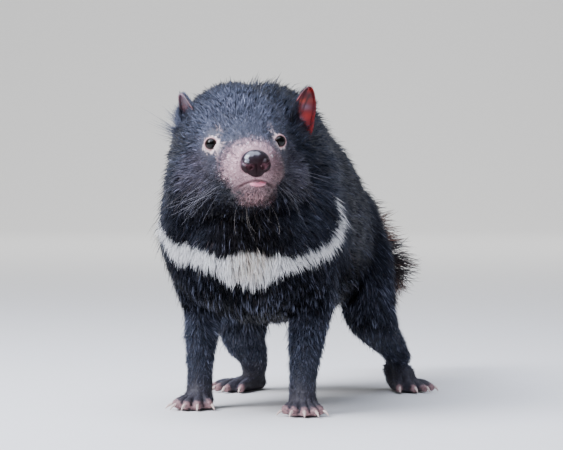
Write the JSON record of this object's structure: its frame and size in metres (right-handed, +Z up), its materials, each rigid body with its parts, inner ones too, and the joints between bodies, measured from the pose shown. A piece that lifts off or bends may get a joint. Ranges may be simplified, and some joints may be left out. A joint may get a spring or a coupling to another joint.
{
  "type": "tasmanian devil",
  "caption": "Life-size still model of a Tasmanian devil that stands on four feet with its head raised and turned to its left: black coat, white chest band, bristly tail.",
  "frame": {"origin": "centre of the bounding box's bottom face, on the floor between the feet", "axes": "+Z up; the animal faces -Y, its own left side is +X, and its tail points to +Y"},
  "size_m": [0.2456, 0.6902, 0.327],
  "materials": {
    "black_fur": "short dense coat, black with a blue-grey sheen, white band over the chest",
    "muzzle_skin": "pinkish brown skin under sparse short hair",
    "nose_skin": "bare, moist, dark maroon, finely pebbled",
    "tongue": "moist pink",
    "eye": "glossy, dark brown to black",
    "ear_skin": "thin, nearly bare skin, red where light shines through",
    "claw": "pale horn",
    "tail_bristle": "coarse dark brown bristles"
  },
  "bodies": {
    "root": {"ear_left": "ear_skin", "ear_right": "ear_skin", "eye_left": "eye", "eye_right": "eye", "forearm_left": "black_fur", "forearm_right": "black_fur", "foreclaw_left_1": "claw", "foreclaw_left_2": "claw", "foreclaw_left_3": "claw", "foreclaw_left_4": "claw", "foreclaw_left_5": "claw", "foreclaw_right_1": "claw", "foreclaw_right_2": "claw", "foreclaw_right_3": "claw", "foreclaw_right_4": "claw", "foreclaw_right_5": "claw", "forefoot_left": "black_fur", "forefoot_right": "black_fur", "head": "black_fur", "hindclaw_left_1": "claw", "hindclaw_left_2": "claw", "hindclaw_left_3": "claw", "hindclaw_left_4": "claw", "hindclaw_right_1": "claw", "hindclaw_right_2": "claw", "hindclaw_right_3": "claw", "hindclaw_right_4": "claw", "hindfoot_left": "black_fur", "hindfoot_right": "black_fur", "lower_jaw": "muzzle_skin", "neck": "black_fur", "nose": "nose_skin", "rump": "black_fur", "shank_left": "black_fur", "shank_right": "black_fur", "tail": "tail_bristle", "thigh_left": "black_fur", "thigh_right": "black_fur", "tongue": "tongue", "torso": "black_fur", "upper_arm_left": "black_fur", "upper_arm_right": "black_fur"}
  },
  "joints": []
}
